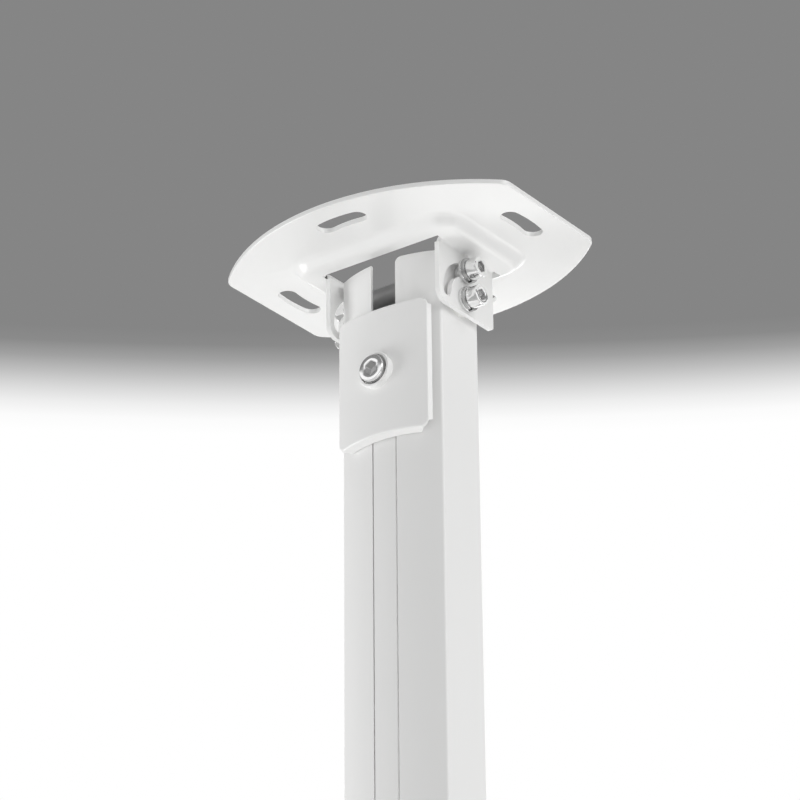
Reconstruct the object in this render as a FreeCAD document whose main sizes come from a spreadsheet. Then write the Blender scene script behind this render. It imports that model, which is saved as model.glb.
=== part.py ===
import FreeCAD, Part
import math
import os
import re
import Sketcher

# Projector ceiling mount. Millimetres, +Z up, origin at the centre of the face that meets the ceiling.
# X runs along the tilt bolts, -Y is the slotted front of the pole that carries the cover plate.

SIZES = {
    # ceiling plate: one pressed sheet with two long arcs, two straight ends and a shallow boss
    "plate_half_length": 80,
    "plate_half_width": 66.8,
    "plate_arc_radius": 115.3,
    "plate_corner_radius": 7,
    "sheet_thickness": 2.3,
    "rim_radius": 0.6,
    "boss_half_length": 47.5,
    "boss_half_width": 33,
    "boss_corner_radius": 12,
    "boss_drop": 5.4,
    "boss_slope_run": 4,
    "boss_wall_inset": 0.9,
    "boss_bend_radius": 4.5,
    "boss_inside_radius": 2,
    "opening_half_length": 33.1,
    "opening_front": 22.75,
    "opening_back": 27.4,
    # kidney slots for the ceiling screws, bowed about the plate's centre
    "end_slot_radius": 64.6,
    "end_slot_width": 9.1,
    "end_slot_half_sweep": 8.1,
    "side_slot_radius": 51.7,
    "side_slot_width": 9.6,
    "side_slot_half_sweep": 9.4,
    # ears lanced from the opening and bent down beside the pole
    "ear_front": 20.6,
    "ear_back": 21.8,
    "ear_gap": 1.8,
    "ear_bend_radius": 1,
    "ear_drop": 30.4,
    "ear_relief_width": 1.5,
    "ear_relief_drop": 1.4,
    "ear_front_corner_radius": 6,
    "ear_back_corner_radius": 1.5,
    "pivot_drop": 23.5,
    "lock_radius": 14.4,
    "lock_slot_width": 6.3,
    "tilt_travel": 90,
    # outer column: slotted tube with bowed front and back
    "column_half_width": 28.1,
    "column_half_depth": 20.2,
    "column_front_radius": 60.7,
    "column_back_radius": 78.5,
    "column_wall": 1.5,
    "column_corner_radius": 2,
    "column_length": 330,
    "column_top_gap": 1.6,
    "column_slot_width": 13.6,
    "lip_corner_radius": 3,
    # inner column: closed tube that slides in the outer one, with a rib that fills its slot
    "slide_clearance": 0.3,
    "inner_wall": 1.5,
    "inner_corner_radius": 1.5,
    "inner_top_drop": 30.7,
    "rib_left_gap": 0.4,
    "rib_right_gap": 0.7,
    "rib_set_back": 0.3,
    "rib_edge_radius": 0.4,
    # cover plate: shallow pan that clamps the two columns
    "cover_face_half_width": 24.8,
    "cover_face_half_height": 31.5,
    "cover_side_lean": 0.5,
    "cover_end_lean": 0.2,
    "cover_stand_off": 4.8,
    "cover_front_radius": 70,
    "cover_thickness": 1.5,
    "cover_rise": 4.1,
    "cover_corner_radius": 4,
    "cover_bend_radius": 1,
    "cover_side_depth": 2.2,
    "cover_relief_width": 2.8,
    "cover_relief_height": 2.6,
    "cover_relief_slant": 3,
    "cover_gap": 0.3,
    "spacer_radius": 8.6,
    "spacer_thickness": 3,
    "spacer_edge_radius": 0.5,
    "spacer_recess_radius": 7.4,
    "spacer_recess_depth": 2.3,
    "clamp_half_width": 11,
    "clamp_height": 26,
    "clamp_thickness": 4,
    # six-millimetre screws, washers and nuts
    "screw_radius": 3,
    "screw_head_radius": 5,
    "screw_head_height": 6,
    "screw_socket_flats": 5,
    "screw_socket_depth": 3.2,
    "screw_head_chamfer": 0.7,
    "thread_past_nut": 2.5,
    "bolt_clearance": 0.06,
    "washer_radius": 6,
    "washer_thickness": 1.6,
    "washer_clearance": 0.2,
    "spring_washer_radius": 5.9,
    "spring_washer_thickness": 1.6,
    "spring_washer_slit": 1.2,
    "nut_flats": 10,
    "nut_height": 5,
    "nut_chamfer": 0.6,
    "sleeve_radius": 6,
    "friction_washer_radius": 7,
    # strap at the lower end that carries the projector head
    "head_clearance": 6.7,
    "head_pivot_rise": 13,
    "head_ear_half_width": 17,
    "head_ear_rise": 11.6,
    "head_ear_corner_radius": 6,
    "head_base_drop": 20,
    "head_tilt_travel": 20,
    # swivel: eight-millimetre screw through the strap and the head plate
    "swivel_radius": 4,
    "swivel_head_radius": 6.5,
    "swivel_head_height": 8,
    "swivel_socket_flats": 6,
    "swivel_socket_depth": 4,
    "swivel_washer_radius": 8,
    "swivel_washer_thickness": 1.6,
    "swivel_nut_flats": 13,
    "swivel_nut_height": 6.5,
    "swivel_disc_radius": 15,
    "swivel_disc_thickness": 1,
    # head plate and its four arms
    "hub_half_width": 58,
    "hub_corner_radius": 12,
    "hub_thickness": 2.5,
    "arm_pivot_half_spacing": 46,
    "projector_half_spacing": 100,
    "projector_hole_radius": 2.6,
    "arm_width": 17,
    "arm_thickness": 2.5,
    "arm_inboard": 33,
    "arm_travel": 22,
    "arm_slot_clearance": 0.3,
    "arm_tip": 9,
    "arm_step_start": 34,
    "arm_step_run": 10,
    "arm_step_drop": 12,
    "arm_bend_radius": 1.5,
    "arm_washer_radius": 7.5,
}

# Places worked out from the sizes above
PLACES = {
    "flat_z": "-(sheet_thickness + boss_drop)",
    "pivot_z": "flat_z - pivot_drop",
    "lock_z": "pivot_z + lock_radius",
    "ear_inner_x": "column_half_width + ear_gap",
    "ear_outer_x": "ear_inner_x + sheet_thickness",
    "ear_bend_x": "ear_outer_x + ear_bend_radius",
    "ear_bend_z": "flat_z - ear_bend_radius",
    "ear_bottom_z": "flat_z - ear_drop",
    "bore_radius": "screw_radius + bolt_clearance",
    "column_top_z": "flat_z - column_top_gap",
    "column_bottom_z": "column_top_z - column_length",
    "arc_centre": "column_front_radius - column_half_depth",
    "back_arc_centre": "column_half_depth - column_back_radius",
    "inner_inset": "column_wall + slide_clearance",
    "inner_half_width": "column_half_width - inner_inset",
    "inner_front_y": "-(column_half_depth - inner_inset)",
    "inner_top_z": "column_top_z - inner_top_drop",
    "cover_middle_z": "inner_top_z + cover_rise - cover_face_half_height",
    "cover_apex_y": "-(column_half_depth + cover_stand_off)",
    "cover_centre_y": "cover_apex_y + cover_front_radius",
    "cover_edge_y": "cover_centre_y - sqrt(cover_front_radius^2 - cover_face_half_width^2)",
    "spacer_face_y": "cover_apex_y - spacer_thickness",
    "clamp_front_y": "inner_front_y + inner_wall",
    "head_ear_top_z": "column_bottom_z - head_clearance",
    "head_lock_z": "head_ear_top_z - head_ear_rise",
    "head_pivot_z": "head_lock_z - lock_radius",
    "inner_bottom_z": "head_pivot_z - head_pivot_rise",
    "head_ear_inner_x": "inner_half_width + ear_gap",
    "head_ear_outer_x": "head_ear_inner_x + sheet_thickness",
    "head_bend_x": "head_ear_inner_x - ear_bend_radius",
    "head_base_z": "head_pivot_z - head_base_drop",
    "head_bend_z": "head_base_z + ear_bend_radius",
    "strap_bottom_z": "head_base_z - sheet_thickness",
    "hub_top_z": "strap_bottom_z - swivel_disc_thickness",
    "hub_bottom_z": "hub_top_z - hub_thickness",
    "arm_bottom_z": "hub_bottom_z - arm_thickness",
    "arm_pivot_radius": "arm_pivot_half_spacing * sqrt(2)",
    "arm_reach": "projector_half_spacing * sqrt(2) - arm_pivot_radius",
    "swivel_bore_radius": "swivel_radius + bolt_clearance",
}

doc = FreeCAD.newDocument("ProjectorCeilingMount")
sheet = doc.addObject("Spreadsheet::Sheet", "Sizes")
for row, (alias, size) in enumerate(SIZES.items(), start=1):
    sheet.set("A%d" % row, alias.replace("_", " "))
    sheet.set("B%d" % row, str(size))
    sheet.setAlias("B%d" % row, alias)
doc.recompute()

V = FreeCAD.Vector
UP = V(0, 0, 1)
DOWN = V(0, 0, -1)
RIGHT = V(1, 0, 0)
LEFT = V(-1, 0, 0)
FRONT = V(0, -1, 0)
NODES = []


def bound(formula):
    """The formula with every size named in the sheet, ready for setExpression."""
    def name(match):
        word = match.group()
        if word in PLACES:
            return "(" + bound(PLACES[word]) + ")"
        return "Sizes." + word if word in SIZES else word
    return re.sub(r"[a-z_]+", name, str(formula))


def value(formula):
    """The formula's number in millimetres or degrees."""
    return float(sheet.evalExpression(bound(formula)))


def new_body(label):
    body = doc.addObject("PartDesign::Body", label)
    body.Label = label
    return body


def keep(shape_object, label):
    """Names a finished sub-part and lists it for writing."""
    shape_object.Label = label
    NODES.append(shape_object)
    return shape_object


def place(shape_object, x, y, z, towards=UP):
    """Turns the object's own +Z towards a direction and ties its place to the sheet."""
    shape_object.Placement = FreeCAD.Placement(V(), FreeCAD.Rotation(UP, towards))
    for axis, formula in zip("xyz", (x, y, z)):
        shape_object.setExpression("Placement.Base." + axis, bound(formula))
    return shape_object


def draw(body, name, plane, outlines=(), circles=(), lift="0"):
    """A sketch on one of the body's planes.

    An outline is a list of corners. A corner (x, y) starts a straight edge and a corner
    (x, y, cx, cy, turn) starts an arc about (cx, cy), anticlockwise where turn is 1.
    A circle is (x, y, radius).
    """
    sketch = body.newObject("Sketcher::SketchObject", name)
    role = plane + "_Plane"
    support = next(f for f in body.Origin.OriginFeatures if f.Role == role)
    sketch.AttachmentSupport = [(support, "")]
    sketch.MapMode = "FlatFace"
    sketch.setExpression("AttachmentOffset.Base.z", bound(lift))

    def fix(kind, geometry, end, formula):
        number = sketch.addConstraint(
            Sketcher.Constraint(kind, -1, 1, geometry, end, value(formula)))
        sketch.renameConstraint(number, "size%d" % number)
        sketch.setExpression("Constraints.size%d" % number, bound(formula))

    for outline in outlines:
        first = sketch.GeometryCount
        points = [V(value(c[0]), value(c[1]), 0) for c in outline]
        ends = []
        for index, corner in enumerate(outline):
            start, stop = points[index], points[(index + 1) % len(points)]
            if len(corner) == 2:
                sketch.addGeometry(Part.LineSegment(start, stop))
                ends.append((1, 2))
                continue
            centre = V(value(corner[2]), value(corner[3]), 0)
            turn = corner[4]
            radius = (start - centre).Length
            angles = [math.atan2((p - centre).y, (p - centre).x) for p in (start, stop)]
            low, high = angles if turn > 0 else angles[::-1]
            if high < low:
                high += 2 * math.pi
            sketch.addGeometry(Part.ArcOfCircle(Part.Circle(centre, UP, radius), low, high))
            ends.append((1, 2) if turn > 0 else (2, 1))
        for index, corner in enumerate(outline):
            after = (index + 1) % len(outline)
            edge, next_edge = first + index, first + after
            sketch.addConstraint(Sketcher.Constraint(
                "Coincident", edge, ends[index][1], next_edge, ends[after][0]))
            fix("DistanceX", edge, ends[index][0], corner[0])
            fix("DistanceY", edge, ends[index][0], corner[1])
            if len(corner) > 2:
                chord = points[after] - points[index]
                if abs(chord.y) > abs(chord.x):
                    fix("DistanceX", edge, 3, corner[2])
                else:
                    fix("DistanceY", edge, 3, corner[3])
    for x, y, radius in circles:
        circle = sketch.GeometryCount
        sketch.addGeometry(Part.Circle(V(value(x), value(y), 0), UP, value(radius)))
        fix("DistanceX", circle, 3, x)
        fix("DistanceY", circle, 3, y)
        number = sketch.addConstraint(Sketcher.Constraint("Radius", circle, value(radius)))
        sketch.renameConstraint(number, "radius%d" % number)
        sketch.setExpression("Constraints.radius%d" % number, bound(radius))
    return sketch


def pad(body, sketch, length, backwards=False, both_ways=False):
    feature = body.newObject("PartDesign::Pad", sketch.Name + "Pad")
    feature.Profile = sketch
    feature.Reversed = backwards
    feature.SideType = "Symmetric" if both_ways else "One side"
    feature.setExpression("Length", bound(length))
    return feature


def pocket(body, sketch, length=None, backwards=False, both_ways=False):
    """Cuts the sketch to a depth, or right through where no length is given."""
    doc.recompute()
    before = body.Shape.Volume
    feature = body.newObject("PartDesign::Pocket", sketch.Name + "Pocket")
    feature.Profile = sketch
    feature.Reversed = backwards
    feature.SideType = "Symmetric" if both_ways else "One side"
    if length is None:
        feature.Type = "ThroughAll"
    else:
        feature.setExpression("Length", bound(length))
    doc.recompute()
    if not feature.Shape.Volume < before:
        raise ValueError(sketch.Name + " cuts nothing")
    return feature


def loft(body, kind, lower, upper):
    feature = body.newObject("PartDesign::" + kind, upper.Name + "Loft")
    feature.Profile = lower
    feature.Sections = [upper]
    feature.Ruled = True
    return feature


def within(x=None, y=None, z=None, slack=0.02):
    """A test for edges that lie wholly inside the given ranges."""
    def test(edge):
        box = edge.BoundBox
        spans = ((x, box.XMin, box.XMax), (y, box.YMin, box.YMax), (z, box.ZMin, box.ZMax))
        return all(span is None or (low >= span[0] - slack and high <= span[1] + slack)
                   for span, low, high in spans)
    return test


def around(number, reach=0.0):
    return (number - reach, number + reach)


def round_edges(body, name, radius, test):
    """Rounds the edges of the body so far that pass the test."""
    doc.recompute()
    base = body.Tip
    names = ["Edge%d" % n for n, edge in enumerate(base.Shape.Edges, start=1) if test(edge)]
    if not names:
        raise ValueError(name + " finds no edge")
    feature = body.newObject("PartDesign::Fillet", name)
    feature.Base = (base, names)
    feature.setExpression("Radius", bound(radius))
    return feature


def rectangle(x_low, x_high, y_low, y_high):
    return [(x_low, y_low), (x_high, y_low), (x_high, y_high), (x_low, y_high)]


def round_rectangle(half_x, half_y, radius):
    """Outline of a centred rectangle with round corners, from the lower left side on."""
    hx, hy, r = "(%s)" % half_x, "(%s)" % half_y, "(%s)" % radius
    return [
        ("-%s + %s" % (hx, r), "-%s" % hy),
        ("%s - %s" % (hx, r), "-%s" % hy, "%s - %s" % (hx, r), "-%s + %s" % (hy, r), 1),
        ("%s" % hx, "-%s + %s" % (hy, r)),
        ("%s" % hx, "%s - %s" % (hy, r), "%s - %s" % (hx, r), "%s - %s" % (hy, r), 1),
        ("%s - %s" % (hx, r), "%s" % hy),
        ("-%s + %s" % (hx, r), "%s" % hy, "-%s + %s" % (hx, r), "%s - %s" % (hy, r), 1),
        ("-%s" % hx, "%s - %s" % (hy, r)),
        ("-%s" % hx, "-%s + %s" % (hy, r), "-%s + %s" % (hx, r), "-%s + %s" % (hy, r), 1),
    ]


def raised(outline, height):
    """The outline moved up its sketch by a height."""
    moved = []
    for corner in outline:
        spot = (corner[0], "%s + (%s)" % (corner[1], height))
        if len(corner) > 2:
            spot += (corner[2], "%s + (%s)" % (corner[3], height), corner[4])
        moved.append(spot)
    return moved


def kidney(cx, cy, radius, width, low, high):
    """Outline of a slot bowed about (cx, cy) between two angles in degrees."""
    def polar(reach, angle):
        return ("%s + (%s) * cos((%s) * 1 deg)" % (cx, reach, angle),
                "%s + (%s) * sin((%s) * 1 deg)" % (cy, reach, angle))
    outer = "(%s) + (%s) / 2" % (radius, width)
    inner = "(%s) - (%s) / 2" % (radius, width)
    return [
        polar(outer, low) + (cx, cy, 1),
        polar(outer, high) + polar(radius, high) + (1,),
        polar(inner, high) + (cx, cy, -1),
        polar(inner, low) + polar(radius, low) + (1,),
    ]


def barrel(inset):
    """The columns' section, drawn in by an inset: straight sides, bowed front and back."""
    half = "(column_half_width - (%s))" % inset
    front = "(arc_centre - sqrt((column_front_radius - (%s))^2 - %s^2))" % (inset, half)
    back = "(back_arc_centre + sqrt((column_back_radius - (%s))^2 - %s^2))" % (inset, half)
    return [
        ("-" + half, front, "0", "arc_centre", 1),
        (half, front),
        (half, back, "0", "back_arc_centre", 1),
        ("-" + half, back),
    ]


def hexagon(flats):
    corner = "(%s) / sqrt(3)" % flats
    return [("%s * cos(%d deg)" % (corner, 60 * k), "%s * sin(%d deg)" % (corner, 60 * k))
            for k in range(6)]


# Fasteners: each is built along its own Z, with its bearing face at the origin

def cap_screw(label, length, radius="screw_radius", head_radius="screw_head_radius",
              head_height="screw_head_height", flats="screw_socket_flats",
              depth="screw_socket_depth"):
    """Hex-socket cap screw: head above the origin, shank below it."""
    body = new_body(label)
    chamfer = "screw_head_chamfer"
    profile = [
        ("0", head_height),
        ("%s - %s" % (head_radius, chamfer), head_height),
        (head_radius, "%s - %s" % (head_height, chamfer)),
        (head_radius, "0"),
        (radius, "0"),
        (radius, "-(%s) + %s" % (length, chamfer)),
        ("%s - %s" % (radius, chamfer), "-(%s)" % length),
        ("0", "-(%s)" % length),
    ]
    section = draw(body, label + "Section", "XZ", [profile])
    turned = body.newObject("PartDesign::Revolution", label + "Turned")
    turned.Profile = section
    turned.ReferenceAxis = (section, ["V_Axis"])
    turned.Angle = 360
    pocket(body, draw(body, label + "Socket", "XY", [hexagon(flats)], lift=head_height), depth)
    return body


def hex_nut(label, flats="nut_flats", height="nut_height", bore="bore_radius"):
    """Hexagon nut standing on the origin, corners turned off at both faces."""
    body = new_body(label)
    pad(body, draw(body, label + "Hexagon", "XY", [hexagon(flats)], [("0", "0", bore)]), height)
    reach = "((%s) / sqrt(3))" % flats
    flat = "((%s) / 2)" % flats
    outside = "(%s + 1)" % reach
    chamfer = "nut_chamfer"
    slope = "((%s - %s) * %s / (%s - %s))" % (outside, flat, chamfer, reach, flat)
    corners = [
        [(flat, "0"), (outside, "0"), (outside, slope)],
        [(flat, height), (outside, height), (outside, "%s - %s" % (height, slope))],
    ]
    section = draw(body, label + "Corners", "XZ", corners)
    doc.recompute()
    before = body.Shape.Volume
    groove = body.newObject("PartDesign::Groove", label + "Chamfers")
    groove.Profile = section
    groove.ReferenceAxis = (section, ["V_Axis"])
    groove.Angle = 360
    doc.recompute()
    if not groove.Shape.Volume < before:
        raise ValueError(label + " keeps its corners")
    return body


def ring(name, outer, inner, thickness, slit=None):
    """Washer or sleeve standing on the origin, split where a slit is given."""
    solids = []
    for part, radius in (("Disc", outer), ("Bore", inner)):
        cylinder = doc.addObject("Part::Cylinder", name + part)
        cylinder.setExpression("Radius", bound(radius))
        cylinder.setExpression("Height", bound(thickness))
        solids.append(cylinder)
    cut = doc.addObject("Part::Cut", name)
    cut.Base, cut.Tool = solids
    if slit is None:
        return cut
    gap = doc.addObject("Part::Box", name + "Slit")
    gap.setExpression("Length", bound(outer))
    gap.setExpression("Width", bound(slit))
    gap.setExpression("Height", bound(thickness))
    gap.setExpression("Placement.Base.y", bound("-(%s) / 2" % slit))
    split = doc.addObject("Part::Cut", name + "Split")
    split.Base, split.Tool = cut, gap
    return split


def group(label, members):
    """Identical pieces that share one node as separate solids."""
    compound = doc.addObject("Part::Compound", label)
    compound.Links = members
    return keep(compound, label)


def spring_washer(label, x, y, z, towards, outer="spring_washer_radius", bore="bore_radius"):
    washer = ring(label + "_ring", outer, bore, "spring_washer_thickness",
                  "spring_washer_slit")
    return keep(place(washer, x, y, z, towards), label)


def cross_bolt(prefix, z, outer_x):
    """Bolt right across two ears: screw, two flat washers, a spring washer and a nut."""
    head_x = "%s + washer_thickness + spring_washer_thickness" % outer_x
    nut_x = "-(%s + washer_thickness)" % outer_x
    length = "%s + %s + washer_thickness + nut_height + thread_past_nut" % (head_x, outer_x)
    screw = cap_screw(prefix + "_bolt", length)
    keep(place(screw, head_x, "0", z, RIGHT), prefix + "_bolt")
    washers = []
    for side, direction in (("", RIGHT), ("-", LEFT)):
        washer = ring(prefix + "Washer", "washer_radius", "bore_radius + washer_clearance",
                      "washer_thickness")
        washers.append(place(washer, "%s(%s)" % (side, outer_x), "0", z, direction))
    group(prefix + "_washers", washers)
    spring_washer(prefix + "_spring_washer", "%s + washer_thickness" % outer_x, "0", z, RIGHT)
    keep(place(hex_nut(prefix + "_nut"), nut_x, "0", z, LEFT), prefix + "_nut")


def spacer_sleeves(label, inside_x, heights):
    """Tubes between a column's side walls, one on each cross bolt."""
    sleeves = []
    for z in heights:
        sleeve = ring("Sleeve", "sleeve_radius", "bore_radius", "2 * (%s)" % inside_x)
        sleeves.append(place(sleeve, "-(%s)" % inside_x, "0", z, RIGHT))
    group(label, sleeves)


def friction_washers(label, inner_x, z):
    """Thin washers that fill the gap between a column's side and the ears at the pivot."""
    washers = []
    for side, direction in (("", RIGHT), ("-", LEFT)):
        washer = ring("FrictionWasher", "friction_washer_radius",
                      "bore_radius + washer_clearance", "ear_gap")
        washers.append(place(washer, "%s(%s)" % (side, inner_x), "0", z, direction))
    group(label, washers)


# Ceiling plate: pressed from one sheet, its boss and its two ears all in the same metal

plate = new_body("ceiling_plate")
plate_corner_y = ("(plate_half_width - plate_arc_radius"
                  " + sqrt(plate_arc_radius^2 - plate_half_length^2))")
plate_arc_y = "(plate_arc_radius - plate_half_width)"
outline = [
    ("-plate_half_length", "-" + plate_corner_y, "0", plate_arc_y, 1),
    ("plate_half_length", "-" + plate_corner_y),
    ("plate_half_length", plate_corner_y, "0", "-" + plate_arc_y, 1),
    ("-plate_half_length", plate_corner_y),
]
pad(plate, draw(plate, "PlateOutline", "XY", [outline]), "sheet_thickness", backwards=True)
upright = (-value("sheet_thickness"), 0)
round_edges(plate, "PlateCorners", "plate_corner_radius",
            lambda edge: within(z=upright)(edge) and edge.BoundBox.ZLength > 1)
lower_face = around(-value("sheet_thickness"))
round_edges(plate, "PlateRim", "rim_radius", within(z=lower_face))

boss_foot = draw(plate, "BossFoot", "XY", lift="-sheet_thickness", outlines=[round_rectangle(
    "boss_half_length", "boss_half_width", "boss_corner_radius")])
boss_flat = draw(plate, "BossFlat", "XY", lift="flat_z", outlines=[round_rectangle(
    "boss_half_length - boss_slope_run", "boss_half_width - boss_slope_run",
    "boss_corner_radius - boss_slope_run")])
loft(plate, "AdditiveLoft", boss_foot, boss_flat)
foot_x = value("boss_half_length")
foot_y = value("boss_half_width")
round_edges(plate, "BossFootBend", "boss_bend_radius",
            within((-foot_x, foot_x), (-foot_y, foot_y), lower_face))
round_edges(plate, "BossFlatBend", "boss_bend_radius", within(z=around(value("flat_z"))))

inset = "boss_wall_inset"
hollow_mouth = draw(plate, "HollowMouth", "XY", outlines=[round_rectangle(
    "boss_half_length - " + inset, "boss_half_width - " + inset,
    "boss_corner_radius - " + inset)])
hollow_floor = draw(plate, "HollowFloor", "XY", lift="-boss_drop", outlines=[round_rectangle(
    "boss_half_length - boss_slope_run - " + inset,
    "boss_half_width - boss_slope_run - " + inset,
    "boss_corner_radius - boss_slope_run - " + inset)])
loft(plate, "SubtractiveLoft", hollow_mouth, hollow_floor)
round_edges(plate, "HollowMouthBend", "boss_inside_radius",
            within((-foot_x, foot_x), (-foot_y, foot_y), around(0)))
round_edges(plate, "HollowFloorBend", "boss_inside_radius",
            within((-foot_x, foot_x), (-foot_y, foot_y), around(-value("boss_drop"))))
pocket(plate, draw(plate, "Opening", "XY", [rectangle(
    "-opening_half_length", "opening_half_length", "-opening_front", "opening_back")]))


def ear_section(side):
    """Side view of an ear: from the boss round the bend and down."""
    root = "opening_half_length + sheet_thickness"
    turn = 1 if side == "" else -1
    return [
        ("%s(%s)" % (side, root), "-boss_drop"),
        ("%s(ear_bend_x)" % side, "-boss_drop", "%s(ear_bend_x)" % side, "ear_bend_z", turn),
        ("%s(ear_inner_x)" % side, "ear_bend_z"),
        ("%s(ear_inner_x)" % side, "ear_bottom_z"),
        ("%s(ear_outer_x)" % side, "ear_bottom_z"),
        ("%s(ear_outer_x)" % side, "ear_bend_z", "%s(ear_bend_x)" % side, "ear_bend_z", -turn),
        ("%s(ear_bend_x)" % side, "flat_z"),
        ("%s(%s)" % (side, root), "flat_z"),
    ]


pad(plate, draw(plate, "Ears", "XZ", [ear_section(""), ear_section("-")], lift="ear_front"),
    "ear_front + ear_back", backwards=True)
ear_bottom = around(value("ear_bottom_z"))
round_edges(plate, "EarFrontCorners", "ear_front_corner_radius",
            within(y=around(-value("ear_front")), z=ear_bottom))
round_edges(plate, "EarBackCorners", "ear_back_corner_radius",
            within(y=around(value("ear_back")), z=ear_bottom))
relief = ("-opening_front", "-(ear_front - ear_relief_width)")
pocket(plate, draw(plate, "EarReliefs", "XY", [
    rectangle("ear_inner_x - 1", "opening_half_length", *relief),
    rectangle("-opening_half_length", "-(ear_inner_x - 1)", *relief)]),
    "ear_relief_drop - flat_z")
lock_slot = kidney("0", "pivot_z", "lock_radius", "lock_slot_width", "90", "90 + tilt_travel")
pocket(plate, draw(plate, "EarHoles", "YZ", [lock_slot], [("0", "pivot_z", "bore_radius")]),
       both_ways=True)

ceiling_slots = []
for middle, kind in ((0, "end"), (90, "side"), (180, "end"), (270, "side")):
    sweep = kind + "_slot_half_sweep"
    ceiling_slots.append(kidney("0", "0", kind + "_slot_radius", kind + "_slot_width",
                                "%d - %s" % (middle, sweep), "%d + %s" % (middle, sweep)))
pocket(plate, draw(plate, "CeilingSlots", "XY", ceiling_slots))
keep(plate, "ceiling_plate")

cross_bolt("pivot", "pivot_z", "ear_outer_x")
friction_washers("pivot_friction_washers", "column_half_width", "pivot_z")


# Outer column: rolled tube, open along its front, held between the ears

column = new_body("outer_column")
pad(column, draw(column, "ColumnOutside", "XY", [barrel("0")], lift="column_top_z"),
    "column_length", backwards=True)
round_edges(column, "ColumnCorners", "column_corner_radius",
            lambda edge: edge.BoundBox.ZLength > 1)
pocket(column, draw(column, "ColumnInside", "XY", [barrel("column_wall")], lift="column_top_z"))
pocket(column, draw(column, "FrontSlot", "XZ", [rectangle(
    "-column_slot_width / 2", "column_slot_width / 2", "column_bottom_z", "column_top_z")]),
    backwards=True)
lip_x = value("column_slot_width / 2")
round_edges(column, "LipCorner", "lip_corner_radius",
            within(x=around(lip_x), y=(-value("column_half_depth"), 0),
                   z=around(value("column_top_z"))))
pocket(column, draw(column, "ColumnBoltHoles", "YZ", circles=[
    ("0", "pivot_z", "bore_radius"), ("0", "lock_z", "bore_radius")]), both_ways=True)
keep(column, "outer_column")

cross_bolt("lock", "lock_z", "ear_outer_x")
spacer_sleeves("column_spacer_sleeves", "column_half_width - column_wall",
               ("pivot_z", "lock_z"))


# Inner column: closed tube that slides down out of the outer one

inner = new_body("inner_column")
pad(inner, draw(inner, "InnerOutside", "XY", [barrel("inner_inset")], lift="inner_top_z"),
    "inner_top_z - inner_bottom_z", backwards=True)
round_edges(inner, "InnerCorners", "inner_corner_radius",
            lambda edge: edge.BoundBox.ZLength > 1)
pocket(inner, draw(inner, "InnerInside", "XY", [barrel("inner_inset + inner_wall")],
                   lift="inner_top_z"))
rib_left = "(rib_left_gap - column_slot_width / 2)"
rib_right = "(column_slot_width / 2 - rib_right_gap)"
rib_arc = "(column_front_radius - rib_set_back)"
rib_root_y = "(inner_front_y + inner_wall / 2)"
rib_section = [
    (rib_left, "arc_centre - sqrt(%s^2 - %s^2)" % (rib_arc, rib_left), "0", "arc_centre", 1),
    (rib_right, "arc_centre - sqrt(%s^2 - %s^2)" % (rib_arc, rib_right)),
    (rib_right, rib_root_y),
    (rib_left, rib_root_y),
]
pad(inner, draw(inner, "InnerRib", "XY", [rib_section], lift="inner_top_z"),
    "inner_top_z - inner_bottom_z", backwards=True)
rib_face_y = value("arc_centre") - value(rib_arc)
round_edges(inner, "InnerRibEdges", "rib_edge_radius",
            lambda edge: edge.BoundBox.ZLength > 1
            and edge.BoundBox.YMax < rib_face_y + value("rib_set_back + rib_edge_radius")
            and edge.BoundBox.YLength < 0.01)
pocket(inner, draw(inner, "InnerBoltHoles", "YZ", circles=[
    ("0", "head_pivot_z", "bore_radius"), ("0", "head_lock_z", "bore_radius")]),
    both_ways=True)
pocket(inner, draw(inner, "ClampScrewHole", "XZ", circles=[
    ("0", "cover_middle_z", "bore_radius")]), backwards=True)
keep(inner, "inner_column")


# Cover plate: bowed pan with leaning flanges, the upper and lower ones bearing on the column

cover = new_body("cover_plate")
outlines = []
for name, depth_y in (("CoverFoot", "0"), ("CoverFace", "cover_apex_y - 1")):
    half_x = ("cover_face_half_width + cover_side_lean * (%s - cover_edge_y)" % depth_y)
    half_z = ("cover_face_half_height + cover_end_lean * (%s - cover_apex_y)" % depth_y)
    outlines.append(draw(cover, name, "XZ", lift="-(%s)" % depth_y, outlines=[raised(
        round_rectangle(half_x, half_z, "cover_corner_radius"), "cover_middle_z")]))
loft(cover, "AdditiveLoft", *outlines)

wide_x = "(column_half_width + cover_face_half_width)"
above_z = "(cover_middle_z + 2 * cover_face_half_height)"


def bow(radius, centre_y, beyond_y):
    """Section between a bowed face and a straight line before or behind it."""
    side_y = "(%s - sqrt((%s)^2 - (%s)^2))" % (centre_y, radius, wide_x)
    return [
        ("-" + wide_x, side_y, "0", centre_y, 1),
        (wide_x, side_y),
        (wide_x, beyond_y),
        ("-" + wide_x, beyond_y),
    ]


pocket(cover, draw(cover, "CoverFront", "XY", lift=above_z, outlines=[
    bow("cover_front_radius", "cover_centre_y", "2 * cover_apex_y")]))
pocket(cover, draw(cover, "CoverBack", "XY", lift=above_z, outlines=[
    bow("column_front_radius + cover_gap", "arc_centre", "column_half_depth")]))
doc.recompute()
cover_front_arc = value("cover_front_radius")
cover_front_centre = value("cover_centre_y")


def on_cover_front(edge):
    """True where every point of the edge lies on the bowed front face."""
    return all(abs(math.hypot(p.x, p.y - cover_front_centre) - cover_front_arc) < 0.02
               for p in edge.discretize(5))


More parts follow.
